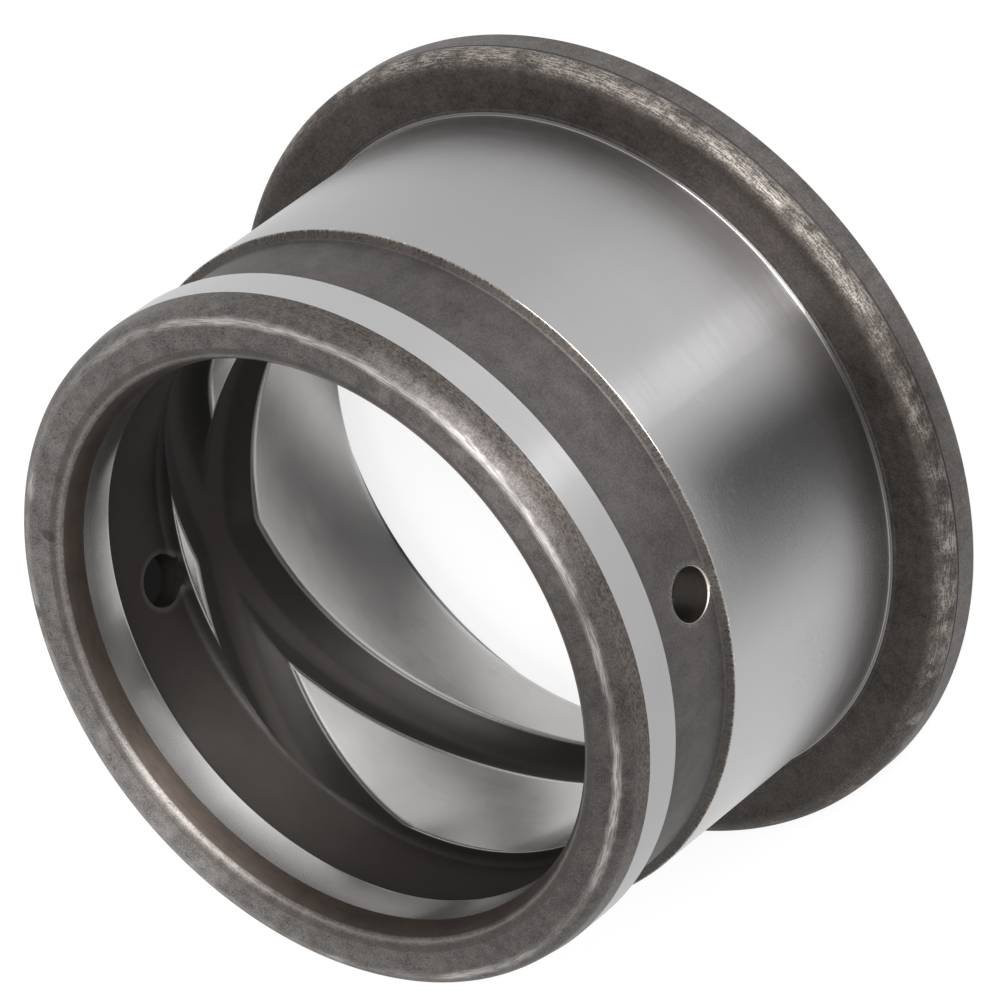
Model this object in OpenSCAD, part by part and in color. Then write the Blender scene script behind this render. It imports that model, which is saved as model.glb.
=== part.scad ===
// Flanged steel bushing with crossing oil grooves in its bore.
// It stands on the back face of its flange, with its axis along +Z
// and its small front end on top. All sizes are in millimetres.

/* [Bore and barrel] */
// Diameter of the honed bore that the pin turns in
bore_d = 70; // [50:0.5:100]
// Thickness of the wall between the bore and the ground barrel
wall_t = 7.5; // [6.5:0.25:12]
// Length of the barrel from the flange's front face to the front end
barrel_len = 51; // [50:0.5:80]

/* [Flange] */
// Width by which the flange stands out from the barrel
flange_w = 7.5; // [6:0.5:15]
// Thickness of the flange
flange_t = 6; // [4:0.5:12]
// Radius of the flange's front edge
flange_front_r = 2.3; // [0.5:0.1:3]
// Radius of the flange's back edge
flange_back_r = 0.5; // [0.2:0.1:1]
// Radius of the fillet between the barrel and the flange
corner_r = 0.5; // [0.2:0.1:1]

/* [Ends of the barrel and bore] */
// Length of the tapered lead that guides the barrel into its housing
lead_len = 3.9; // [3:0.1:5]
// Angle between the tapered lead and the axis
lead_angle = 8; // [4:1:15]
// Radius of the front end's outer edge
nose_r = 2.1; // [0.5:0.1:2.5]
// Radius of the front end's inner edge
mouth_r = 2.1; // [0.5:0.1:2.5]
// Width of the bore's front lead, measured outward from the bore
mouth_w = 2.6; // [2.2:0.1:3]
// Angle between the bore's front lead and the axis
mouth_angle = 20; // [15:1:30]
// Distance of the bore's back end above the flange's front face
back_rise = 0.75; // [0:0.05:2]
// Radius of the bore's back edge
back_r = 1.8; // [0.5:0.1:2]
// Angle between the countersink behind the bore and the axis
back_angle = 45; // [40:1:50]

/* [Outer oil groove] */
// Height of the outer groove's middle above the flange's front face
outer_groove_z = 36.5; // [31:0.5:39]
// Width of the outer groove at the barrel's surface
outer_groove_w = 11.5; // [8:0.5:13]
// Depth of the outer groove
outer_groove_depth = 1.25; // [0.5:0.05:2]
// Angle by which the outer groove's side walls slope away from a square cut
outer_wall_angle = 15; // [0:1:30]

/* [Inner oil groove] */
// Height of the inner ring groove's middle above the outer groove's middle
inner_groove_shift = 0.9; // [-2:0.1:2]
// Width of the inner ring groove
inner_groove_w = 11.5; // [9:0.5:12]
// Depth of the inner ring groove's floor below the crossing grooves' floor
inner_groove_extra = 0.2; // [0.2:0.1:0.8]
// Radius in the corners of the inner ring groove's floor
inner_corner_r = 1; // [0.2:0.1:1]

/* [Crossing oil grooves] */
// Distance from the inner ring groove's middle down to the crossings
cross_drop = 13.2; // [12:0.1:15]
// Swing of each crossing groove to either side of the crossings
cross_swing = 12.2; // [8:0.1:12.5]
// Width of the crossing grooves at the bore's surface
cross_w = 9.1; // [6:0.1:10]
// Depth of the crossing groove that is milled first
cross_depth = 2; // [1:0.1:2.2]
// Extra depth of the groove that is milled second, so that it cleans up the crossings
second_cut = 0.1; // [0.1:0.05:0.3]

/* [Oil holes] */
// Diameter of the oil holes
hole_d = 6; // [3:0.5:8]
// Chamfer at the outer mouth of each oil hole
hole_chamfer = 0.2; // [0.1:0.1:0.5]
// Height of the oil holes above the outer groove's middle
hole_shift = -2.1; // [-2.5:0.1:2.5]
// Number of oil holes round the barrel
hole_count = 2; // [1:1:6]

/* [Hidden] */
$fn = 180;
steel = [0.68, 0.67, 0.66];

// How far the cutters and the countersink reach past the surfaces that they cut
cut_over = 1;
sink_over = 0.1;

bore_r = bore_d / 2;
barrel_r = bore_r + wall_t;
flange_r = barrel_r + flange_w;
total_h = flange_t + barrel_len;

// Centre of the nose arc, which runs from the tapered lead to the flat front face
lead_drop = (lead_len - nose_r * (1 - sin(lead_angle))) * tan(lead_angle);
nose_center = [barrel_r - lead_drop - nose_r * cos(lead_angle), total_h - nose_r];

// Centre of the mouth arc, and the height at which the lead behind it meets the bore
mouth_center = [bore_r + mouth_w, total_h - mouth_r];
mouth_end = on_arc(mouth_center, mouth_r, 180 - mouth_angle);
bore_top_z = mouth_end[1] - (mouth_end[0] - bore_r) / tan(mouth_angle);

// Centre of the arc at the bore's back edge, and the countersink behind it
bore_end_z = flange_t + back_rise;
back_center = [bore_r + back_r, bore_end_z];
back_end = on_arc(back_center, back_r, 180 + back_angle);
back_open_r = back_end[0] + back_end[1] * tan(back_angle);

flange_front_center = [flange_r - flange_front_r, flange_t - flange_front_r];
flange_back_center = [flange_r - flange_back_r, flange_back_r];
corner_center = [barrel_r + corner_r, flange_t + corner_r];

// Heights of the oil features
outer_z = flange_t + outer_groove_z;
inner_z = outer_z + inner_groove_shift;
cross_z = inner_z - cross_drop;
hole_z = outer_z + hole_shift;

// Ball-nosed cutter that mills a crossing groove of the given width and depth
cutter_r = (pow(cross_w / 2, 2) + pow(cross_depth, 2)) / (2 * cross_depth);
cutter_path_r = bore_r + cross_depth - cutter_r;
cross_slope = cross_swing / bore_r;
inner_groove_depth = cross_depth + second_cut + inner_groove_extra;

// Point on an arc in the profile's plane, at an angle from the outward direction
function on_arc(center, radius, angle) =
    [center[0] + radius * cos(angle), center[1] + radius * sin(angle)];

// The two ends of an arc with its centre between them: a disc set there rounds the edge
function rounded(center, radius, from, to) =
    [on_arc(center, radius, from), center, on_arc(center, radius, to)];

module disc(center, radius) {
    translate(center)
        circle(r = radius);
}

// Half section of the turned blank: radius across, height up
module blank_section() {
    difference() {
        union() {
            polygon(concat(
                [[back_open_r, 0]],
                rounded(flange_back_center, flange_back_r, -90, 0),
                rounded(flange_front_center, flange_front_r, 0, 90),
                rounded(corner_center, corner_r, 270, 180),
                [[barrel_r, total_h - lead_len]],
                rounded(nose_center, nose_r, lead_angle, 90),
                rounded(mouth_center, mouth_r, 90, 180 - mouth_angle),
                [[bore_r, bore_top_z]],
                rounded(back_center, back_r, 180, 180 + back_angle)));
            disc(flange_back_center, flange_back_r);
            disc(flange_front_center, flange_front_r);
            disc(nose_center, nose_r);
            disc(mouth_center, mouth_r);
            disc(back_center, back_r);
        }
        disc(corner_center, corner_r);
    }
}

module blank() {
    rotate_extrude()
        blank_section();
}

// Shallow groove round the barrel, with slightly sloping side walls
module outer_ring_groove() {
    slope = tan(outer_wall_angle);
    half = outer_groove_w / 2;
    floor_half = half - outer_groove_depth * slope;
    open_half = half + cut_over * slope;
    floor_r = barrel_r - outer_groove_depth;
    open_r = barrel_r + cut_over;
    translate([0, 0, outer_z])
        rotate_extrude()
            polygon([
                [floor_r, -floor_half],
                [open_r, -open_half],
                [open_r, open_half],
                [floor_r, floor_half]]);
}

// Ring groove in the bore that the oil holes open into
module inner_ring_groove() {
    half = inner_groove_w / 2;
    open_r = bore_r - cut_over;
    corner = [bore_r + inner_groove_depth - inner_corner_r, half - inner_corner_r];
    low_corner = [corner[0], -corner[1]];
    translate([0, 0, inner_z])
        rotate_extrude() {
            polygon(concat(
                [[open_r, -half]],
                rounded(low_corner, inner_corner_r, -90, 0),
                rounded(corner, inner_corner_r, 0, 90),
                [[open_r, half]]));
            disc(corner, inner_corner_r);
            disc(low_corner, inner_corner_r);
        }
}

// Closed oil groove that climbs to one side of the bore and falls to the other:
// a ring in the cutter's section, sheared along the axis so that it stays in the wall
module swinging_groove(slope, deeper) {
    multmatrix([
        [1, 0, 0, 0],
        [0, 1, 0, 0],
        [0, slope, 1, cross_z]])
        rotate_extrude()
            disc([cutter_path_r + deeper, 0], cutter_r);
}

// Two such grooves with opposite slopes cross at two places, in line with the oil holes
module crossing_grooves() {
    swinging_groove(cross_slope, second_cut);
    swinging_groove(-cross_slope, 0);
}

// Radial holes from the outer groove into the inner ring groove. The countersink that
// leaves the chamfer ends just outside the floor, short of the groove's side wall.
module oil_holes() {
    mouth_x = barrel_r - outer_groove_depth;
    sink_t = hole_chamfer + sink_over;
    for (i = [0:hole_count - 1])
        rotate([0, 0, i * 360 / hole_count])
            translate([0, 0, hole_z])
                rotate([0, 90, 0]) {
                    translate([0, 0, bore_r - cut_over])
                        cylinder(d = hole_d, h = wall_t + 2 * cut_over);
                    translate([0, 0, mouth_x - hole_chamfer])
                        cylinder(d1 = hole_d, d2 = hole_d + 2 * sink_t, h = sink_t);
                }
}

module bushing() {
    color(steel)
        difference() {
            blank();
            outer_ring_groove();
            inner_ring_groove();
            crossing_grooves();
            oil_holes();
        }
}

bushing();
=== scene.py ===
from math import atan2, cos, pi, radians, sin, sqrt, tan

import bmesh
import bpy
from mathutils import Euler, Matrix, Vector


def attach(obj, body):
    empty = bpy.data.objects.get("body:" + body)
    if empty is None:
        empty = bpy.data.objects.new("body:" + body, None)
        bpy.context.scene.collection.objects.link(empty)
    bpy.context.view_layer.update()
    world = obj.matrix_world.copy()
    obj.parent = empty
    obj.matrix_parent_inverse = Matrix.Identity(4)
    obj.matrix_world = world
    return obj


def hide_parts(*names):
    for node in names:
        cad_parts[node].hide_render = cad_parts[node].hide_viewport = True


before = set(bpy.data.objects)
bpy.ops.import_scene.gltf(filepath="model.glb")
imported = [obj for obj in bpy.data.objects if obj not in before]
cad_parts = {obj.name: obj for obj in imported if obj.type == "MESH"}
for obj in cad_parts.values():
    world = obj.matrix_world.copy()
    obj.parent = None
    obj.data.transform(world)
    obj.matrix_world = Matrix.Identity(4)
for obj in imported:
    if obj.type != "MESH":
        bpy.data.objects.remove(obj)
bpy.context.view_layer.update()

MM = 0.001

# Sizes of the bushing in millimetres, as its drawing has them
BORE_R = 35.0
BARREL_R = 42.5
FLANGE_R = 50.0
FLANGE_T = 6.0
FLANGE_EDGE = 2.3
TOTAL_H = 57.0
LEAD_FROM = 53.1
LEAD_ANGLE = 8.0
END_EDGE = 2.1
BORE_TOP = 53.896
MOUTH_ANGLE = 20.0
BACK_EDGE = 1.8
BACK_EDGE_Z = 6.004
BACK_OPEN_R = 41.0
BACK_LIP_Z = 4.6
OUTER_GROOVE = (36.75, 48.25)
OUTER_FLOOR = (37.085, 47.915)
OUTER_FLOOR_R = 41.3
RING_GROOVE = (37.65, 49.15)
RING_DEPTH = 1.8
HOLE_R = 3.1
HOLE_Z = 40.4
HOLE_BREAK = 0.2

# Fine lines that the lathe left: on the flange's face, beside the barrel, and on its rim
FACE_LINE_R = 43.3
RIM_LINE_Z = 3.5

# The crossing oil grooves: the height of their crossings, how far they swing,
# and half their width at the crossings and at the turns
CROSS_Z = 30.0
SWING = 12.52
SHARPER = -0.92
HALF_AT_CROSSING = 5.2
HALF_AT_TURN = 3.9
DEPTH_AT_CROSSING = 1.8
DEPTH_AT_TURN = 1.6

# The bore is drawn from this height up, and its grooves lie between the other two
BORE_FROM = 8.0
GROOVES_FROM = 12.0
GROOVES_TO = 49.0

# Faces round the bushing and round each oil hole
STEPS = 360
HOLE_STEPS = 72

# Edges between faces that meet at more than this angle stay sharp, in degrees
SHARP_ANGLE = 33

# The side of the bushing that the camera faces, and the side that shows its wear and
# its painted light most, as angles round it from an oil hole
CAMERA_SIDE = 28.2
WEAR_AND_LIGHT_SIDE = 58.0

# Which way the grinding lines draw the highlights out: along the bushing's axis
ALONG_AXIS = 0.25


# ---------------------------------------------------------------- finishes


class Value:
    """A socket of a skin's nodes, so that sums on it read as sums."""

    def __init__(self, skin, socket):
        self.skin = skin
        self.socket = socket

    def maths(self, operation, first, second):
        settings = {"operation": operation}
        return self.skin.node("ShaderNodeMath", settings, {0: first, 1: second})

    def __add__(self, other):
        return self.maths("ADD", self, other)

    def __sub__(self, other):
        return self.maths("SUBTRACT", self, other)

    def __rsub__(self, other):
        return self.maths("SUBTRACT", other, self)

    def __mul__(self, other):
        return self.maths("MULTIPLY", self, other)

    def __truediv__(self, other):
        return self.maths("DIVIDE", self, other)

    def __rtruediv__(self, other):
        return self.maths("DIVIDE", other, self)

    def __pow__(self, other):
        return self.maths("POWER", self, other)

    def or_more(self, other):
        return self.maths("MAXIMUM", self, other)

    __radd__ = __add__
    __rmul__ = __mul__


class Sheet:
    """The nodes of a material or of the world."""

    def __init__(self, owner):
        owner.use_nodes = True
        self.owner = owner
        self.tree = owner.node_tree
        self.tree.nodes.clear()

    def node(self, kind, settings, sockets, out=0):
        """Adds a node and returns its output, or nothing if out is None."""
        made = self.tree.nodes.new(kind)
        for name, setting in settings.items():
            setattr(made, name, setting)
        for name, value in sockets.items():
            socket = made.inputs[name]
            if isinstance(value, Value):
                self.tree.links.new(value.socket, socket)
            elif socket.type == "RGBA":
                socket.default_value = (*value, 1)
            else:
                socket.default_value = value
        return None if out is None else Value(self, made.outputs[out])

    def shown(self):
        """1 where the camera, a reflection or a clear view meets it, and 0 elsewhere."""
        seen = self.node("ShaderNodeLightPath", {}, {}, "Is Camera Ray")
        rays = seen.socket.node.outputs
        for ray in ("Is Glossy Ray", "Is Transmission Ray"):
            seen = seen.or_more(Value(self, rays[ray]))
        return seen

    def show(self, surface, out="ShaderNodeOutputMaterial"):
        self.node(out, {}, {"Surface": surface}, None)


class Skin(Sheet):
    """A finish whose patterns read the place on the bushing, in millimetres."""

    def __init__(self, name):
        super().__init__(bpy.data.materials.new(name))
        place = self.node("ShaderNodeTexCoord", {}, {}, "Object")
        self.place = self.vector("SCALE", {0: place, "Scale": 1 / MM})
        parts = self.node("ShaderNodeSeparateXYZ", {}, {0: self.place}).socket.node
        self.x, self.y, self.z = (Value(self, part) for part in parts.outputs)
        self.radius = (self.x * self.x + self.y * self.y) ** 0.5

    def vector(self, operation, sockets):
        return self.node("ShaderNodeVectorMath", {"operation": operation}, sockets)

    def noise(self, x, y, z, detail=1.0):
        """Noise about 0.5, from 0 to 1, where 1 in x, y or z is one grain of it."""
        drawn = self.node("ShaderNodeCombineXYZ", {}, {0: x, 1: y, 2: z})
        sockets = {"Vector": drawn, "Scale": 1.0, "Detail": detail}
        return self.node("ShaderNodeTexNoise", {}, sockets)

    def step(self, value, low, high):
        """Rises softly from 0 to 1 between two values, or falls if low is above high."""
        settings = {"interpolation_type": "SMOOTHSTEP"}
        return self.node("ShaderNodeMapRange", settings, {0: value, 1: low, 2: high})

    def band(self, value, low, high, soft):
        """1 between two values and 0 outside them, with soft edges."""
        rise = self.step(value, low - soft, low + soft)
        return rise * self.step(value, high + soft, high - soft)

    def grain(self, size, seed, detail=2.0, rough=0.5):
        """Even grain of a size in millimetres. It lies about 0.5, from 0 to 1."""
        moved = (seed * 17.3, seed * 5.9, seed * 9.1)
        moved = self.vector("ADD", {0: self.place, 1: moved})
        sockets = {"Vector": moved, "Scale": 1 / size, "Detail": detail, "Roughness": rough}
        return self.node("ShaderNodeTexNoise", {}, sockets)

    def marks(self, across, along, run, seed, detail=1.0):
        """Marks drawn out round the bushing, where run is the way across them."""
        place = run / across + seed * 7.7
        return self.noise(self.x / along, self.y / along, place, detail)

    def strokes(self, size, length, run, seed):
        """Strokes that cross the bushing's round, where run is the way along them."""
        count = FLANGE_R / size
        place = run / length + seed * 7.7
        return self.noise(self.x / self.radius * count, self.y / self.radius * count, place)

    def away(self, x, y, z):
        """The distance from a point on the bushing, in millimetres."""
        return ((self.x - x) ** 2 + (self.y - y) ** 2 + (self.z - z) ** 2) ** 0.5

    def from_hole(self):
        """The distance from the line through both oil holes, in millimetres."""
        return (self.y * self.y + (self.z - HOLE_Z) ** 2) ** 0.5

    def side(self, angle):
        """1 on the side at this angle round the bushing, -1 on the other side."""
        turned = self.x * cos(radians(angle)) + self.y * sin(radians(angle))
        return turned / self.radius

    def blend(self, share, first, second):
        """The first colour where the share is 0, and the second where it is 1."""
        sockets = {0: share, 6: first, 7: second}
        return self.node("ShaderNodeMix", {"data_type": "RGBA"}, sockets, 2)

    def shade(self, colour, tone):
        """The colour made darker or lighter by the tone."""
        return self.vector("SCALE", {0: colour, "Scale": tone})

    def finish(self, colour, rough, relief, metal, drawn_out):
        """Makes the surface. The relief is in millimetres, and drawn_out says how far
        the lines of the finish draw its highlights out along the axis."""
        bumped = {"Height": relief, "Strength": 1.0, "Distance": MM}
        sockets = {
            "Base Color": colour,
            "Metallic": metal,
            "Roughness": rough,
            "Normal": self.node("ShaderNodeBump", {}, bumped),
            "Anisotropic": drawn_out,
            "Anisotropic Rotation": ALONG_AXIS if drawn_out else 0.0,
        }
        self.show(self.node("ShaderNodeBsdfPrincipled", {}, sockets))
        return self.owner


def colour(red, green, blue):
    """A colour as it shows on the screen, from 0 to 255, in the units of the nodes."""
    parts = (v / 255 for v in (red, green, blue))
    return tuple(v / 12.92 if v < 0.04045 else ((v + 0.055) / 1.055) ** 2.4 for v in parts)


def ground_steel():
    """The barrel, ground round: fine lines, a patch of short dark dashes, burrs at the
    outer groove's lower edge, a line of painted shade at the foot, and painted shade
    and sheen to one side."""
    skin = Skin("ground_steel")
    lines = skin.marks(0.25, 8.0, skin.z, 1)
    fine = skin.marks(0.13, 0.8, skin.z, 2, 2.0)
    cloud = skin.grain(11.0, 3, 3.0)
    front = skin.step(skin.z, OUTER_GROOVE[1] - 0.35, OUTER_GROOVE[1] - 0.05)
    near = skin.step(skin.side(CAMERA_SIDE - 18), 0.88, 0.98)
    patch = skin.step(skin.grain(16.0, 4, 3.0) + 0.22 * near, 0.60, 0.78)
    patch = patch * (1 - 0.8 * front)
    dashes = skin.step(fine, 0.52, 0.68) * patch
    dashes = dashes * skin.step(skin.z, FLANGE_T + 5, FLANGE_T + 11)
    tone = 0.94 + 0.06 * lines + 0.12 * cloud - 0.10 * dashes
    # Painted shade and sheen: the barrel is darker, and the band at its front lighter,
    # towards a side just past the worn side
    turned = 0.5 + 0.5 * skin.side(WEAR_AND_LIGHT_SIDE + 20)
    barrel = skin.blend(turned, colour(180, 179, 179), colour(158, 157, 157))
    band = skin.blend(turned, colour(148, 147, 147), colour(175, 174, 174))
    base = skin.shade(skin.blend(front, barrel, band), tone)
    # Burrs that the groove's lower edge kept
    burrs = skin.band(skin.z, OUTER_GROOVE[0] - 0.12, OUTER_GROOVE[0] + 0.2, 0.05)
    burrs = burrs * skin.step(skin.grain(0.35, 5), 0.56, 0.66)
    burrs = burrs * skin.step(skin.grain(6.0, 6), 0.5, 0.6)
    base = skin.blend(burrs, base, colour(220, 214, 206))
    # Painted shade: a dark line in the corner where the barrel meets the flange
    corner_shade_line = skin.band(skin.z, FLANGE_T, FLANGE_T + 0.12, 0.04)
    base = skin.blend(corner_shade_line * 0.8, base, colour(74, 69, 66))
    rough = 0.19 + 0.04 * cloud + 0.04 * lines + 0.09 * dashes
    relief = 0.0005 * lines + 0.0004 * fine
    return skin.finish(base, rough, relief, metal=1.0, drawn_out=1.0)


def turned_groove_steel():
    """The outer groove: a matte dark floor with fine specks, and browner side walls."""
    skin = Skin("turned_groove_steel")
    cloud = skin.grain(9.0, 11, 4.0)
    patch = skin.grain(2.2, 14, 3.0, 0.6)
    speck = skin.grain(0.24, 12, 2.0, 0.7)
    lines = skin.marks(0.3, 5.0, skin.z, 13)
    wall = skin.step(skin.radius, OUTER_FLOOR_R + 0.1, OUTER_FLOOR_R + 0.3)
    salt = skin.step(speck, 0.38, 0.66)
    tone = 0.10 + 0.75 * cloud + 0.65 * patch + 0.34 * salt + 0.10 * lines
    floor_tone = skin.shade(colour(80, 77, 76), tone)
    nicks = skin.strokes(0.3, 1.2, skin.z, 15)
    wall_tone = skin.shade(colour(88, 83, 79), 0.7 * cloud + 0.5 * salt + 0.7 * nicks)
    base = skin.blend(wall, floor_tone, wall_tone)
    # The tops of the side walls, rubbed light in places
    rub_and_highlight = skin.step(skin.radius, BARREL_R - 0.3, BARREL_R - 0.1)
    rub_and_highlight = rub_and_highlight * skin.step(nicks + 0.5 * patch, 0.68, 0.86)
    base = skin.blend(rub_and_highlight * 0.7, base, colour(168, 162, 155))
    # Rubbed ring round the mouth of each oil hole
    rub_and_highlight = skin.band(skin.from_hole(), HOLE_R, HOLE_R + 0.6, 0.4)
    rub_and_highlight = rub_and_highlight * skin.step(speck, 0.35, 0.65)
    base = skin.blend(rub_and_highlight * 0.3, base, colour(150, 142, 134))
    rough = 0.44 + 0.16 * cloud + 0.12 * speck
    relief = 0.006 * speck + 0.002 * lines
    return skin.finish(base, rough, relief, metal=0.9, drawn_out=0.5)


def turned_end_steel():
    """The front end: a woven tapered lead, a worn nose with a painted highlight, a mottled
    face with painted light to one side, and the mouth with painted shade and a painted
    highlight.
    """
    skin = Skin("turned_end_steel")
    lead = skin.step(skin.z, TOTAL_H - 1.4, TOTAL_H - END_EDGE)
    cone = skin.step(skin.radius, BORE_R + 1.15, BORE_R + 0.95)
    run = skin.z - skin.radius
    lines = skin.marks(0.22, 1.6, run, 21)
    speck = skin.grain(0.22, 22, 2.0, 0.7)
    weave = skin.marks(0.26, 0.5, run, 23, 1.0)
    cloud = skin.grain(5.0, 24, 4.0, 0.6)
    blotch = skin.grain(1.4, 25, 3.0, 0.65)
    salt = skin.step(speck, 0.38, 0.66)
    tone = 0.95 * cloud + 1.0 * blotch + 0.45 * salt + 0.20 * lines - 0.38
    # Painted light: the face is lighter on one side
    painted_light_side = 0.5 + 0.5 * skin.side(CAMERA_SIDE + 150)
    face = skin.blend(painted_light_side, colour(87, 83, 81), colour(119, 115, 113))
    face = skin.shade(face, tone)
    woven = 0.60 * cloud + 0.60 * skin.step(weave, 0.2, 0.8) + 0.26 * salt
    base = skin.blend(lead, face, skin.shade(colour(100, 94, 90), woven))
    # Pits and dark stains in the face
    pits = skin.step(skin.grain(0.5, 26, 2.0), 0.63, 0.71)
    base = skin.blend(pits * 0.55, base, colour(60, 54, 51))
    # The worn ridge round the outside of the face: smooth, with scuffs beside it, and
    # painted bright as a highlight too, most on one side
    ragged = skin.radius + 0.9 * (skin.grain(3.2, 27, 3.0, 0.6) - 0.5)
    ridge = skin.band(ragged, BARREL_R - 2.15, BARREL_R - 1.45, 0.45)
    ridge = ridge * skin.step(skin.z, TOTAL_H - 1.6, TOTAL_H - 1.0)
    scratch = skin.step(skin.marks(0.16, 2.2, run, 28, 2.0), 0.34, 0.62)
    here = skin.grain(9.0, 30, 2.0) + 0.12 * skin.side(CAMERA_SIDE + 30)
    wear_and_highlight = ridge * (0.3 + 0.7 * scratch) * (0.25 + 0.75 * skin.step(here, 0.38, 0.6))
    base = skin.blend(wear_and_highlight * 0.85, base, colour(200, 196, 192))
    # The mouth: a band of painted shade on its rounded edge, then a thin painted highlight
    # above the brown cone
    painted_mouth_shade = skin.band(skin.radius, BORE_R + 1.75, BORE_R + 2.5, 0.15)
    painted_mouth_shade = painted_mouth_shade * skin.step(skin.z, TOTAL_H - 1.1, TOTAL_H - 0.7)
    base = skin.blend(painted_mouth_shade * 0.55, base, colour(74, 68, 64))
    wavy = skin.radius + 0.35 * (blotch - 0.5)
    rub_and_highlight = skin.band(wavy, BORE_R + 1.3, BORE_R + 1.55, 0.12)
    base = skin.blend(rub_and_highlight * 0.38, base, colour(150, 142, 136))
    # Painted light: the cone is lighter on the same side
    cone_tone = skin.blend(painted_light_side, colour(66, 59, 55), colour(74, 66, 61))
    cone_tone = skin.shade(cone_tone, 0.5 + 0.6 * cloud + 0.35 * lines)
    base = skin.blend(cone, base, cone_tone)
    # Two small knocks: one beside the mouth and one on the nose
    knocks = skin.step(skin.away(-34.9, 14.0, 57.0), 1.1, 0.5)
    knocks = knocks + skin.step(skin.away(-40.9, 4.2, 56.8), 1.3, 0.6)
    base = skin.blend(knocks * 0.6, base, colour(52, 47, 44))
    rough = 0.34 + 0.16 * cloud + 0.14 * blotch - 0.16 * wear_and_highlight + 0.10 * cone - 0.08 * lead
    dents = skin.grain(2.2, 29, 1.0) * (ridge + rub_and_highlight)
    relief = 0.003 * lines + 0.014 * blotch + 0.005 * speck + 0.03 * dents
    relief = relief + 0.006 * weave * lead - 0.12 * knocks
    return skin.finish(base, rough, relief, metal=0.95, drawn_out=0.75)


def honed_bore_steel():
    """The bore: bright honed lands between the dark milled oil grooves, whose dark is
    partly oil and partly painted shade.
    """
    skin = Skin("honed_bore_steel")
    above_back = skin.step(skin.z, BORE_FROM, BORE_FROM + 0.4)
    groove = skin.step(skin.radius, BORE_R + 0.03, BORE_R + 0.22) * above_back
    deep = skin.step(skin.radius, BORE_R + 1.5, BORE_R + 1.7)
    cloud = skin.grain(8.0, 31, 3.0)
    stain = skin.step(skin.grain(3.4, 32, 3.0), 0.58, 0.78)
    lines = skin.marks(0.2, 6.0, skin.z, 33)
    land = skin.shade(colour(183, 181, 180), 0.80 + 0.30 * cloud + 0.08 * lines)
    land = skin.blend(stain * 0.14, land, colour(150, 138, 128))
    milled = skin.grain(0.6, 34, 2.0)
    # The grooves' dark colour is partly their oil and partly painted shade in them
    dark = skin.shade(colour(50, 48, 47), 0.66 + 0.4 * cloud + 0.2 * milled)
    brown = skin.shade(colour(62, 58, 56), 0.7 + 0.4 * cloud + 0.2 * milled)
    dark = skin.blend(deep, dark, brown)
    # Rubbed ring round the inner mouth of each oil hole
    rub_and_highlight = skin.band(skin.from_hole(), HOLE_R - 0.1, HOLE_R + 0.55, 0.3)
    dark = skin.blend(rub_and_highlight * 0.5, dark, colour(98, 92, 87))
    base = skin.blend(groove, land, dark)
    # Painted shade: a dark line along the edges of the grooves
    groove_edge_shade = skin.band(skin.radius, BORE_R + 0.015, BORE_R + 0.09, 0.01) * above_back
    base = skin.blend(groove_edge_shade * 0.4, base, colour(90, 86, 84))
    rough = 0.13 + 0.06 * cloud + 0.04 * lines + 0.34 * groove
    relief = (0.0015 * lines + 0.004 * milled) * groove + 0.0003 * lines
    return skin.finish(base, rough, relief, metal=0.95, drawn_out=0.8)


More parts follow.
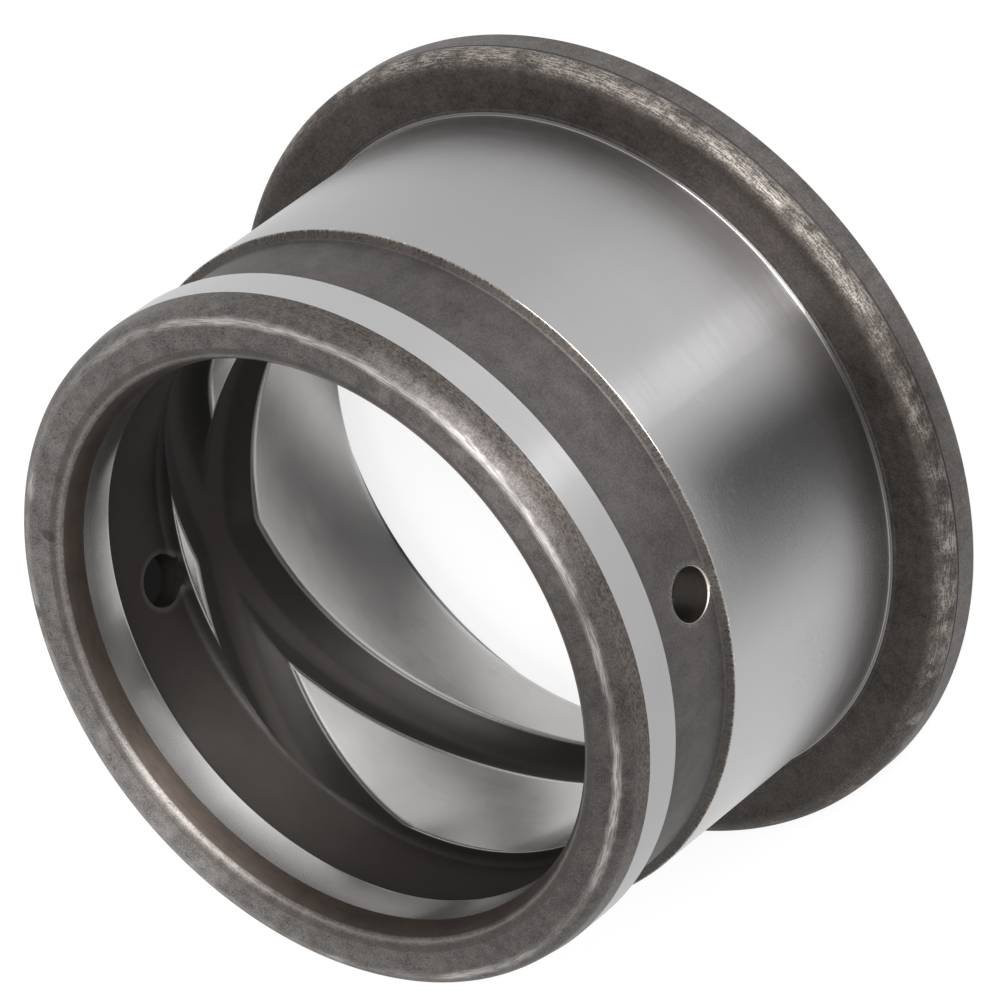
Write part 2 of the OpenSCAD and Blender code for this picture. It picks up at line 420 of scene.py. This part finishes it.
def scaled_steel():
    """The flange and the back: dark brown scale, rubbed bright along the rounded edge and
    painted bright there as a highlight, with the shade in the rim's lathe line painted
    dark.
    """
    skin = Skin("scaled_steel")
    cloud = skin.grain(6.0, 41, 4.0, 0.6)
    blotch = skin.grain(1.3, 42, 3.0, 0.65)
    speck = skin.grain(0.24, 43, 2.0, 0.7)
    run = skin.z - skin.radius
    lines = skin.marks(0.3, 3.0, run, 44)
    rim = skin.step(skin.radius, FLANGE_R - 0.3, FLANGE_R - 0.05)
    rim = rim * skin.step(skin.z, RIM_LINE_Z + 0.5, RIM_LINE_Z + 0.1)
    salt = skin.step(speck, 0.38, 0.66)
    tone = 0.95 * cloud + 0.85 * blotch + 0.45 * salt + 0.20 * lines - 0.28
    base = skin.blend(rim, colour(62, 57, 54), colour(92, 88, 86))
    base = skin.shade(base, tone)
    # The rounded front edge is rubbed lighter all round
    ragged = skin.radius + 0.8 * (blotch - 0.5)
    edge = skin.band(ragged, FLANGE_R - 1.7, FLANGE_R + 0.2, 0.4)
    edge = edge * skin.step(skin.z, RIM_LINE_Z + 0.05, RIM_LINE_Z + 0.4)
    scuffs = skin.marks(0.2, 1.5, run, 48, 2.0)
    grainy = skin.step(0.5 * scuffs + 0.5 * speck, 0.42, 0.6)
    rub_and_highlight = skin.shade(colour(128, 120, 113), 0.5 + blotch)
    base = skin.blend(edge * (0.05 + 0.15 * grainy), base, rub_and_highlight)
    # Worn patches on it, painted bright as a highlight too, strongest on one side
    ridge = skin.band(ragged, FLANGE_R - 1.0, FLANGE_R + 0.4, 0.6)
    ridge = ridge * skin.step(skin.z, RIM_LINE_Z + 0.1, RIM_LINE_Z + 0.4)
    here = 0.5 + 0.5 * skin.side(WEAR_AND_LIGHT_SIDE)
    patch = skin.step(skin.grain(4.5, 46, 4.0, 0.6) + 0.26 * here, 0.56, 0.82)
    streaks = skin.step(0.6 * scuffs + 0.4 * speck, 0.42, 0.60)
    wear_and_highlight = ridge * patch * (0.15 + 0.85 * streaks)
    base = skin.blend(wear_and_highlight * 0.52, base, colour(180, 173, 166))
    # The line that the lathe left round the rim, with the shade in it painted dark
    line = skin.band(skin.z, RIM_LINE_Z - 0.12, RIM_LINE_Z + 0.12, 0.05)
    line = line * skin.step(skin.radius, FLANGE_R - 0.6, FLANGE_R - 0.4)
    base = skin.blend(line * 0.75, base, colour(30, 27, 25))
    # The flat face inside the rounded edge is a little smoother
    flat = skin.step(skin.radius, FLANGE_R - 2.5, FLANGE_R - 4.0)
    rough = 0.44 + 0.14 * cloud + 0.12 * blotch - 0.10 * wear_and_highlight + 0.08 * edge - 0.12 * flat
    relief = 0.014 * blotch + 0.008 * speck + 0.02 * skin.grain(2.6, 47, 1.0) * ridge
    relief = relief + 0.007 * speck * edge
    return skin.finish(base, rough, relief, metal=0.85, drawn_out=0.0)


def drilled_steel():
    """The walls of the oil holes: dark and lined, with a bright break at the mouth."""
    skin = Skin("drilled_steel")
    outward = (skin.x * skin.x) ** 0.5
    lines = skin.noise(skin.x / 0.25, skin.y / 3.0, skin.z / 3.0, 2.0)
    cloud = skin.grain(1.8, 51, 3.0)
    base = skin.shade(colour(60, 56, 53), 0.4 + 0.5 * cloud + 0.5 * lines)
    mouth = skin.step(skin.from_hole(), HOLE_R + 0.01, HOLE_R + 0.06)
    mouth = mouth * skin.step(outward, OUTER_FLOOR_R - 1.3, OUTER_FLOOR_R - 0.8)
    base = skin.blend(mouth, base, colour(176, 168, 158))
    rough = 0.40 + 0.2 * cloud
    return skin.finish(base, rough, 0.006 * lines, metal=0.9, drawn_out=0.0)


# ---------------------------------------------------------------- shapes


def new_piece(name, shape, skins):
    """Makes an object of the shape, smooth all over, with its skins."""
    mesh = bpy.data.meshes.new(name)
    shape.to_mesh(mesh)
    shape.free()
    for face in mesh.polygons:
        face.use_smooth = True
    for skin in skins:
        mesh.materials.append(skin)
    piece = bpy.data.objects.new(name, mesh)
    bpy.context.scene.collection.objects.link(piece)
    return piece


def outline(shape, corners, axis="Z"):
    """Draws a half section from corners given as (radius, height, rounding) and
    rounds each corner that has one. Returns the drawn edges."""
    step_angle = radians(11)
    small_rounding = 0.6
    verts = []
    for radius, height, _ in corners:
        place = (radius, 0, height) if axis == "Z" else (height, 0, radius)
        verts.append(shape.verts.new(Vector(place) * MM))
    for first, second in zip(verts, verts[1:]):
        shape.edges.new((first, second))
    for vert, (_, _, rounding) in zip(verts, corners):
        if not rounding:
            continue
        to_last, to_next = (e.other_vert(vert).co - vert.co for e in vert.link_edges)
        corner_angle = to_last.angle(to_next)
        reach = rounding / tan(corner_angle / 2)
        steps = max(2, round((pi - corner_angle) / step_angle))
        if rounding < small_rounding:
            steps = max(2, steps // 2)
        bmesh.ops.bevel(
            shape,
            geom=[vert],
            offset=reach * MM,
            offset_type="OFFSET",
            segments=steps,
            profile=0.5,
            affect="VERTICES",
            material=-1,
        )
    return shape.edges[:]


def turn(shape, edges, steps, axis="Z"):
    """Turns the drawn edges into a full round."""
    bmesh.ops.spin(
        shape,
        geom=edges + shape.verts[:],
        cent=(0, 0, 0),
        axis=(0, 0, 1) if axis == "Z" else (1, 0, 0),
        angle=2 * pi,
        steps=steps,
        use_merge=True,
        use_duplicate=False,
    )


def cut_plane(shape, height, normal, faces):
    """Cuts a line through the faces, in a plane that meets the axis at this height."""
    parts = set(faces)
    for face in faces:
        parts.update(face.edges)
        parts.update(face.verts)
    bmesh.ops.bisect_plane(
        shape,
        geom=list(parts),
        dist=1e-7,
        plane_co=Vector((0, 0, height * MM)),
        plane_no=Vector(normal),
    )


def cut_levels(shape, heights):
    """Cuts level lines round the whole shape."""
    for height in heights:
        cut_plane(shape, height, (0, 0, 1), shape.faces[:])


# ---------------------------------------------------------------- the bore

# The grooves are drawn between straight lines first, which lean this much, and the
# bore is then stretched until they follow their real path
STRAIGHT_SWING = 12.2
LEAN = STRAIGHT_SWING / BORE_R


def stretch(side):
    """How much the bore is stretched about the crossings' height, where side is
    the sine of the angle from the holes. The second term, a swing three times as
    quick, makes the turns sharper or flatter."""
    return (SWING + SHARPER * (3 - 4 * side * side)) / STRAIGHT_SWING


# Half the width of a straight groove at the crossings, and what it gains on its way out
HALF_DRAWN = HALF_AT_CROSSING / stretch(0)
HALF_TAPER = (HALF_AT_TURN / stretch(1) - HALF_DRAWN) / BORE_R


def groove_lines(shape):
    """Draws both crossing grooves on the plain bore: lines along each groove,
    close together at its edges."""
    across = (1.24, 1.16, 1.09, 1.03, 0.97, 0.91, 0.83, 0.7, 0.5, 0.25, 0)
    lines = sorted(set(across) | {-v for v in across})
    for half in (1, -1):
        for lean in (LEAN, -LEAN):
            for line in lines:
                faces = [f for f in shape.faces if f.calc_center_median().y * half > 0]
                slope = lean + half * line * HALF_TAPER
                cut_plane(shape, CROSS_Z + line * HALF_DRAWN, (0, -slope, 1), faces)
    cut_levels(shape, [CROSS_Z])


def stretch_bore(shape, low, high):
    """Bends the straight lines into the grooves' real path, with both ends kept."""
    start, end = GROOVES_FROM, GROOVES_TO
    for vert in shape.verts:
        z = vert.co.z / MM
        grow = stretch(vert.co.y / MM / BORE_R)
        if z < start:
            edge = CROSS_Z + grow * (start - CROSS_Z)
            z = low + (z - low) / (start - low) * (edge - low)
        elif z > end:
            edge = CROSS_Z + grow * (end - CROSS_Z)
            z = high - (high - z) / (high - end) * (high - edge)
        else:
            z = CROSS_Z + grow * (z - CROSS_Z)
        vert.co.z = z * MM


def ring_section():
    """Half section of the ring groove in the bore, as (height, depth) pairs."""
    low, high = RING_GROOVE
    edge, corner = 0.25, 0.8
    wall_end = 0.04
    side = [(-edge - 0.15, 0.0), (-edge, 0.0)]
    for angle in (30, 60, 90):
        turned = radians(angle)
        side.append((-edge + edge * sin(turned), edge * (1 - cos(turned))))
    side += [(0.01, 0.45), (0.02, 0.65), (0.03, 0.85), (wall_end, RING_DEPTH - corner)]
    for angle in (22.5, 45, 67.5, 90):
        turned = radians(angle)
        deep = RING_DEPTH - corner + corner * sin(turned)
        side.append((wall_end + corner * (1 - cos(turned)), deep))
    return [(low + z, d) for z, d in side] + [(high - z, d) for z, d in reversed(side)]


def between(pairs, at):
    """Reads a drawn curve of (position, value) pairs."""
    if at <= pairs[0][0]:
        return pairs[0][1]
    for (x0, y0), (x1, y1) in zip(pairs, pairs[1:]):
        if at <= x1:
            return y0 + (y1 - y0) * (at - x0) / max(x1 - x0, 1e-9)
    return pairs[-1][1]


def blend_deeper(one, other, soft):
    """The deeper of two depths, with the edge between them rounded."""
    share = max(soft - abs(one - other), 0) / soft
    return max(one, other) + share * share * soft / 4


def cross_depth(side, z, lean_sign):
    """Depth of one crossing groove where the bore's surface has this height. Its
    section is an arc, and lengths across it are in halves of the groove's width."""
    arc_r, arc_end = 1.36, 1.3
    clear = -1.0
    grow = stretch(side)
    middle = CROSS_Z + lean_sign * grow * LEAN * side * BORE_R
    half = grow * (HALF_DRAWN + HALF_TAPER * BORE_R * abs(side))
    across = abs(z - middle) / half
    if across > arc_end:
        return clear
    deep = DEPTH_AT_CROSSING + (DEPTH_AT_TURN - DEPTH_AT_CROSSING) * abs(side)
    rim = sqrt(arc_r * arc_r - 1)
    return deep * (sqrt(arc_r * arc_r - across * across) - rim) / (arc_r - rim)


def bore_depth(side, z, ring):
    """Depth of the bore's wall behind the plain bore, with its three oil grooves."""
    at_crossing, at_edge, at_ring = 0.25, 0.9, 0.08
    one, other = (cross_depth(side, z, sign) for sign in (1, -1))
    depth = blend_deeper(blend_deeper(one, other, at_crossing), 0.0, at_edge)
    ring_depth = between(ring, z)
    if depth > 0.02:
        return blend_deeper(depth, ring_depth, at_ring)
    return max(depth, ring_depth)


def make_bore(low, high):
    """The bore from one end to the other, with its three oil grooves."""
    shape = bmesh.new()
    bmesh.ops.create_circle(shape, cap_ends=False, radius=BORE_R * MM, segments=STEPS)
    bmesh.ops.translate(shape, vec=(0, 0, low * MM), verts=shape.verts[:])
    drawn = bmesh.ops.extrude_edge_only(shape, edges=shape.edges[:])
    top = [g for g in drawn["geom"] if isinstance(g, bmesh.types.BMVert)]
    bmesh.ops.translate(shape, vec=(0, 0, (high - low) * MM), verts=top)
    groove_lines(shape)
    stretch_bore(shape, low, high)
    ring = ring_section()
    cut_levels(shape, [z for z, _ in ring])
    cut_levels(shape, range(40, 48))
    for vert in shape.verts:
        x, y, z = vert.co / MM
        depth = bore_depth(y / sqrt(x * x + y * y), z, ring)
        out = (BORE_R + depth) * MM / Vector((vert.co.x, vert.co.y)).length
        vert.co.x *= out
        vert.co.y *= out
    return shape


# ---------------------------------------------------------------- the outside


def make_outside(low, high):
    """Everything but the bore: the mouth, the nose, the barrel and the flange."""
    shape = bmesh.new()
    mouth_r = BORE_R + (TOTAL_H - BORE_TOP) * tan(radians(MOUTH_ANGLE))
    nose_r = BARREL_R - (TOTAL_H - LEAD_FROM) * tan(radians(LEAD_ANGLE))
    floor_low, floor_high = OUTER_FLOOR
    corners = [
        (BORE_R, high, 0),
        (mouth_r, TOTAL_H, END_EDGE),
        (nose_r, TOTAL_H, END_EDGE),
        (BARREL_R, LEAD_FROM, 0.8),
        (BARREL_R, OUTER_GROOVE[1], 0.12),
        (OUTER_FLOOR_R, floor_high, 0.3),
        (OUTER_FLOOR_R, floor_low, 0.3),
        (BARREL_R, OUTER_GROOVE[0], 0.12),
        (BARREL_R, FLANGE_T, 0.35),
        (FACE_LINE_R - 0.1, FLANGE_T, 0),
        (FACE_LINE_R, FLANGE_T - 0.06, 0),
        (FACE_LINE_R + 0.1, FLANGE_T, 0),
        (FLANGE_R, FLANGE_T, FLANGE_EDGE),
        (FLANGE_R, RIM_LINE_Z + 0.1, 0),
        (FLANGE_R - 0.07, RIM_LINE_Z, 0),
        (FLANGE_R, RIM_LINE_Z - 0.1, 0),
        (FLANGE_R, 0, 0.5),
        (BACK_OPEN_R, 0, 0.2),
        (BORE_R, BACK_EDGE_Z, BACK_EDGE),
        (BORE_R, low, 0),
    ]
    turn(shape, outline(shape, corners), STEPS)
    cut_levels(shape, range(38, 48))
    return shape


def make_drill():
    """The cutter that leaves both oil holes, with a small break at the outer mouth of each.
    """
    shape = bmesh.new()
    start, end = 36, 44
    corners = [
        (0, start, 0),
        (HOLE_R, start, 0),
        (HOLE_R, OUTER_FLOOR_R - HOLE_BREAK, 0),
        (HOLE_R + HOLE_BREAK, OUTER_FLOOR_R, 0),
        (HOLE_R + HOLE_BREAK, end, 0),
        (0, end, 0),
    ]
    turn(shape, outline(shape, corners, "X"), HOLE_STEPS, "X")
    bmesh.ops.remove_doubles(shape, verts=shape.verts[:], dist=1e-6)
    bmesh.ops.recalc_face_normals(shape, faces=shape.faces[:])
    bmesh.ops.translate(shape, vec=(0, 0, HOLE_Z * MM), verts=shape.verts[:])
    copied = bmesh.ops.duplicate(shape, geom=shape.faces[:])["geom"]
    copied = [g for g in copied if isinstance(g, bmesh.types.BMVert)]
    half_turn = Euler((0, 0, pi)).to_matrix()
    bmesh.ops.rotate(shape, cent=(0, 0, 0), matrix=half_turn, verts=copied)
    return new_piece("drill", shape, [])


def settle(piece):
    """Applies the piece's modifiers."""
    bpy.context.view_layer.update()
    depsgraph = bpy.context.evaluated_depsgraph_get()
    settled = bpy.data.meshes.new_from_object(piece.evaluated_get(depsgraph))
    piece.modifiers.clear()
    piece.data = settled


# Places in the bushing's list of skins
BARREL, GROOVE, END, BORE, FLANGE, HOLE = range(6)


def skin_at(place, facing):
    """The skin that the surface has at a place in millimetres, where it faces this way."""
    radius = sqrt(place.x * place.x + place.y * place.y)
    from_hole = sqrt(place.y * place.y + (place.z - HOLE_Z) ** 2)
    wall = abs(from_hole - HOLE_R) < 0.05
    mouth = from_hole < HOLE_R + HOLE_BREAK and abs(place.x) > 40
    if (wall or mouth) and 36 < abs(place.x) < 42 and abs(facing.x) < 0.9:
        return HOLE
    if radius < BORE_R + RING_DEPTH + 0.4 and BACK_LIP_Z < place.z < BORE_TOP:
        return BORE
    if place.z > LEAD_FROM + 0.03:
        return END
    if radius < BARREL_R - 0.1 and place.z > CROSS_Z:
        return GROOVE
    if BARREL_R - 0.5 < radius < BARREL_R + 0.45 and place.z > FLANGE_T + 0.01:
        return BARREL
    return FLANGE


def dress(piece):
    """Gives each face its skin, and marks the sharp edges."""
    shape = bmesh.new()
    shape.from_mesh(piece.data)
    for face in shape.faces:
        face.material_index = skin_at(face.calc_center_median() / MM, face.normal)
        face.smooth = True
    for edge in shape.edges:
        edge.smooth = edge.is_manifold and edge.calc_face_angle() < radians(SHARP_ANGLE)
    shape.to_mesh(piece.data)
    shape.free()


def make_bushing(skins):
    """The whole bushing: the outside and the bore joined, drilled and dressed."""
    shape = make_outside(BORE_FROM, BORE_TOP)
    bore = make_bore(BORE_FROM, BORE_TOP)
    loose = bpy.data.meshes.new("bore")
    bore.to_mesh(loose)
    bore.free()
    shape.from_mesh(loose)
    bpy.data.meshes.remove(loose)
    bmesh.ops.remove_doubles(shape, verts=shape.verts[:], dist=2e-6)
    bmesh.ops.dissolve_degenerate(shape, edges=shape.edges[:], dist=1e-7)
    bmesh.ops.recalc_face_normals(shape, faces=shape.faces[:])
    piece = new_piece("bushing_finished", shape, skins)
    drill = make_drill()
    cut = piece.modifiers.new("oil_holes", "BOOLEAN")
    cut.operation = "DIFFERENCE"
    cut.solver = "MANIFOLD"
    cut.object = drill
    settle(piece)
    bpy.data.objects.remove(drill)
    dress(piece)
    weighted = piece.modifiers.new("even_shading", "WEIGHTED_NORMAL")
    weighted.keep_sharp = True
    settle(piece)
    return piece


skins = [
    ground_steel(),
    turned_groove_steel(),
    turned_end_steel(),
    honed_bore_steel(),
    scaled_steel(),
    drilled_steel(),
]
bushing = make_bushing(skins)
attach(bushing, "root")
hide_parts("bushing")


# ---------------------------------------------------------------- studio


def white_paper(share):
    """The floor: partly white by itself, and for the rest it takes light and shadow."""
    sheet = Sheet(bpy.data.materials.new("white_paper"))
    paper = sheet.node("ShaderNodeBsdfDiffuse", {}, {"Color": (0.86, 0.86, 0.86)})
    white = sheet.node("ShaderNodeEmission", {}, {"Color": (1, 1, 1), "Strength": 1.0})
    both = {0: sheet.shown() * share, 1: paper, 2: white}
    sheet.show(sheet.node("ShaderNodeMixShader", {}, both))
    return sheet.owner


def studio_world(level):
    """An even white room: white to the camera and in reflections, and a plain light."""
    sheet = Sheet(bpy.data.worlds.new("studio"))
    light = sheet.node("ShaderNodeBackground", {}, {"Color": (1, 1, 1), "Strength": level})
    white = sheet.node("ShaderNodeBackground", {}, {"Color": (1, 1, 1), "Strength": 1.0})
    both = {0: sheet.shown(), 1: light, 2: white}
    sheet.show(sheet.node("ShaderNodeMixShader", {}, both), "ShaderNodeOutputWorld")
    bpy.context.scene.world = sheet.owner


def lamp(name, azimuth, height, distance, size, power):
    """A soft lamp that faces the bushing. Its azimuth, from the side that the camera
    faces, and its height are in degrees, and its size and distance in metres."""
    azimuth += CAMERA_SIDE
    light = bpy.data.lights.new(name, "AREA")
    light.shape = "RECTANGLE"
    light.size, light.size_y = size
    light.energy = power
    made = bpy.data.objects.new(name, light)
    across = cos(radians(height)) * distance
    made.location = (
        across * cos(radians(azimuth)),
        across * sin(radians(azimuth)),
        sin(radians(height)) * distance + MIDDLE.z,
    )
    made.rotation_euler = (made.location - MIDDLE).to_track_quat("Z", "Y").to_euler()
    bpy.context.scene.collection.objects.link(made)


def card(name, stops, azimuth, near, far, low=0.5, high=0.5, seen=False):
    """A card that the polished steel mirrors, as a studio uses them. It runs from its
    near lower edge to its far upper edge, at this azimuth from the side that the camera
    faces. The stops say how its level goes across it, as (place, level) pairs, where
    level 1 is white. The camera sees it only if seen is true."""
    (left, first), (centre, second), (right, third) = stops
    shape = bmesh.new()
    bmesh.ops.create_grid(shape, x_segments=1, y_segments=1, size=0.5)
    reach = sqrt((far - near) ** 2 + (high - low) ** 2)
    bmesh.ops.scale(shape, vec=(reach * MM, (right - left) * MM, 1), verts=shape.verts[:])
    lean = Euler((0, -atan2(high - low, far - near), 0)).to_matrix()
    bmesh.ops.rotate(shape, matrix=lean, verts=shape.verts[:])
    middle = Vector(((near + far) / 2, (left + right) / 2, (low + high) / 2))
    bmesh.ops.translate(shape, vec=middle * MM, verts=shape.verts[:])
    aim = radians(CAMERA_SIDE + azimuth)
    bmesh.ops.rotate(shape, matrix=Euler((0, 0, aim)).to_matrix(), verts=shape.verts[:])
    skin = Skin(name)
    across = skin.y * cos(aim) - skin.x * sin(aim)
    level = first + (second - first) * skin.step(across, left, centre)
    level = level + (third - second) * skin.step(across, centre, right)
    skin.show(skin.node("ShaderNodeEmission", {}, {"Color": (1, 1, 1), "Strength": level}))
    made = new_piece(name, shape, [skin.owner])
    made.visible_camera = seen
    made.visible_diffuse = False
    made.visible_shadow = False


MIDDLE = Vector((0, 0, TOTAL_H / 2 * MM))

floor_shape = bmesh.new()
bmesh.ops.create_circle(floor_shape, cap_ends=True, radius=3.0, segments=64)
floor = new_piece("floor", floor_shape, [white_paper(share=0.8)])

lamp("key_lamp", azimuth=12, height=70, distance=1.3, size=(0.5, 0.5), power=5.0)
lamp("corner_lamp", azimuth=17, height=43, distance=1.3, size=(1.1, 0.3), power=24.0)
lamp("strip_lamp", azimuth=2, height=8, distance=1.1, size=(0.2, 0.3), power=3.0)

# One card stands beside the flange. Four lie on the floor inside the bore, seen only in
# reflections: three are painted shadow there, and one a painted pool of light
card("dark_card", ((-38, 1.0), (0, 0.18), (15, 1.0)), -20, 52, 52, low=0, high=28)
card("bore_card", ((-13, 1.0), (0, 0.12), (13, 1.0)), 174, 14, 41)
card("bore_card_back", ((-14, 0.0), (0, 0.1), (14, 0.8)), 134, 27, 41)
card("bore_card_white", ((-17, 1.2), (0, 1.8), (17, 1.2)), 45, 6, 32)
card("bore_card_front", ((-13, 0.0), (0, 0.0), (13, 0.0)), -62, 8, 36)

# A black sheet across the far oil hole: painted shadow where the pale floor would show
# through it
half, place, black = HOLE_R + 0.1, 39.6, 0.01
card(
    "hole_card",
    ((-half, black), (0, black), (half, black)),
    azimuth=180 - CAMERA_SIDE,
    near=place,
    far=place,
    low=HOLE_Z - half,
    high=HOLE_Z + half,
    seen=True,
)

studio_world(level=0.75)


# ---------------------------------------------------------------- camera


camera = bpy.data.objects.new("camera", bpy.data.cameras.new("camera"))
bpy.context.scene.collection.objects.link(camera)
camera.data.sensor_width = 36
camera.data.lens = 302.678
camera.location = (0.616033, 0.330314, 0.672711)
camera.rotation_euler = [radians(a) for a in (-32.86394, 35.69653, -19.81917)]
camera.data.clip_start = 0.05
camera.data.clip_end = 10
bpy.context.scene.camera = camera

bpy.context.scene.view_settings.view_transform = "Standard"
